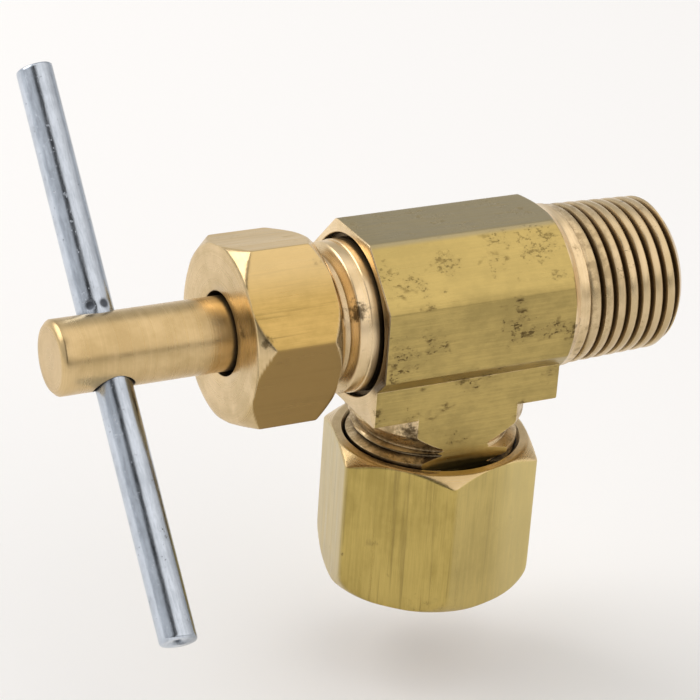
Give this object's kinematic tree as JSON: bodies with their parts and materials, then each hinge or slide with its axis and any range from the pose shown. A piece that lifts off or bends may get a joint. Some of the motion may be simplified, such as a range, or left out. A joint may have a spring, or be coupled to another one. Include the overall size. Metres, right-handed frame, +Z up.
{
  "type": "needle valve",
  "caption": "Angle needle valve with a T-bar stem, packing nut, male pipe inlet and a compression outlet for tube.",
  "frame": {"origin": "centre of the pipe thread's end face, on the inlet axis", "axes": "+X out of the pipe thread end, along the inlet and the stem; -Z out of the tube outlet; +Z up"},
  "size_m": [0.0418, 0.0266, 0.0336],
  "materials": {
    "body_brass": "extruded and turned, dull with dark pits",
    "nut_brass": "drawn hexagon, satin with fine streaks",
    "stem_brass": "turned, satin",
    "inner_brass": "turned, bright",
    "bar_steel": "zinc plated, drawn",
    "needle_steel": "ground",
    "packing": "pressed ring, matte"
  },
  "bodies": {
    "valve_body": {"valve_body": "body_brass", "packing_washer": "inner_brass", "packing_ring_inner": "packing", "packing_ring_middle": "packing", "packing_ring_outer": "packing"},
    "needle": {"needle_tip": "needle_steel"},
    "stem": {"stem": "stem_brass", "handle_bar": "bar_steel"},
    "follower": {"gland_follower": "inner_brass"},
    "packing_nut": {"packing_nut": "nut_brass"},
    "sleeve": {"compression_sleeve": "inner_brass"},
    "tube_nut": {"compression_nut": "nut_brass"}
  },
  "joints": [
    {"name": "stem_travel", "type": "slide", "parent": "valve_body", "child": "needle", "axis": [1, 0, 0], "range_m": [-0.00227, 0.00181]},
    {"name": "stem_turn", "type": "hinge", "parent": "needle", "child": "stem", "pos_m": [-0.01524, 0, 0], "axis": [1, 0, 0], "range_deg": [-900, 720]},
    {"name": "follower_travel", "type": "slide", "parent": "valve_body", "child": "follower", "axis": [1, 0, 0], "range_m": [-0.00423, 0]},
    {"name": "packing_nut_turn", "type": "hinge", "parent": "follower", "child": "packing_nut", "pos_m": [-0.01524, 0, 0], "axis": [1, 0, 0], "range_deg": [-1440, 0]},
    {"name": "sleeve_travel", "type": "slide", "parent": "valve_body", "child": "sleeve", "axis": [0, 0, 1], "range_m": [-0.00635, 0]},
    {"name": "tube_nut_turn", "type": "hinge", "parent": "sleeve", "child": "tube_nut", "pos_m": [-0.01524, 0, 0], "axis": [0, 0, 1], "range_deg": [-2160, 0]}
  ],
  "couplings": [
    {"joint": "stem_travel", "follows": "stem_turn", "m_per_rad": 0.00014435},
    {"joint": "follower_travel", "follows": "packing_nut_turn", "m_per_rad": 0.00016839},
    {"joint": "sleeve_travel", "follows": "tube_nut_turn", "m_per_rad": 0.00016839}
  ]
}
